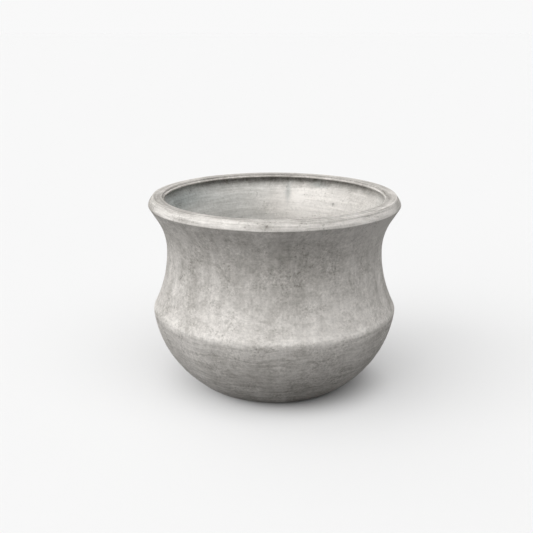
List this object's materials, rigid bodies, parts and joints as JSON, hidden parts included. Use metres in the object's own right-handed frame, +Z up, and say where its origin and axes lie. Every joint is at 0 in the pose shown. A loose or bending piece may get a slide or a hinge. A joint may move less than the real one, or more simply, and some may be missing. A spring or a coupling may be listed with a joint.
{
  "type": "concrete planter",
  "caption": "Round cast concrete floor planter with a flat-topped rim, drawn-in neck, soft shoulder and bowl-shaped base, with a plugged drain and foot pads.",
  "frame": {"origin": "on the ground, under the middle of the pot", "axes": "+Z up along the pot's axis; the pot is round, so +X and +Y are free, with the foot pads between them"},
  "size_m": [0.5, 0.5, 0.386],
  "materials": {
    "concrete": "cast grey concrete, brushed and weathered, matt",
    "sleeve_plastic": "moulded polypropylene, dark grey",
    "strainer_steel": "punched stainless sheet",
    "plug_rubber": "moulded black rubber",
    "pad_rubber": "black sheet rubber"
  },
  "bodies": {
    "pot": {"pot_shell": "concrete", "drain_sleeve": "sleeve_plastic", "drain_strainer": "strainer_steel", "foot_pad_1": "pad_rubber", "foot_pad_2": "pad_rubber", "foot_pad_3": "pad_rubber", "foot_pad_4": "pad_rubber"},
    "plug": {"drain_plug": "plug_rubber"}
  },
  "joints": [
    {"name": "plug_lift", "type": "slide", "parent": "pot", "child": "plug", "axis": [0, 0, 1], "range_m": [0, 0.4]}
  ]
}
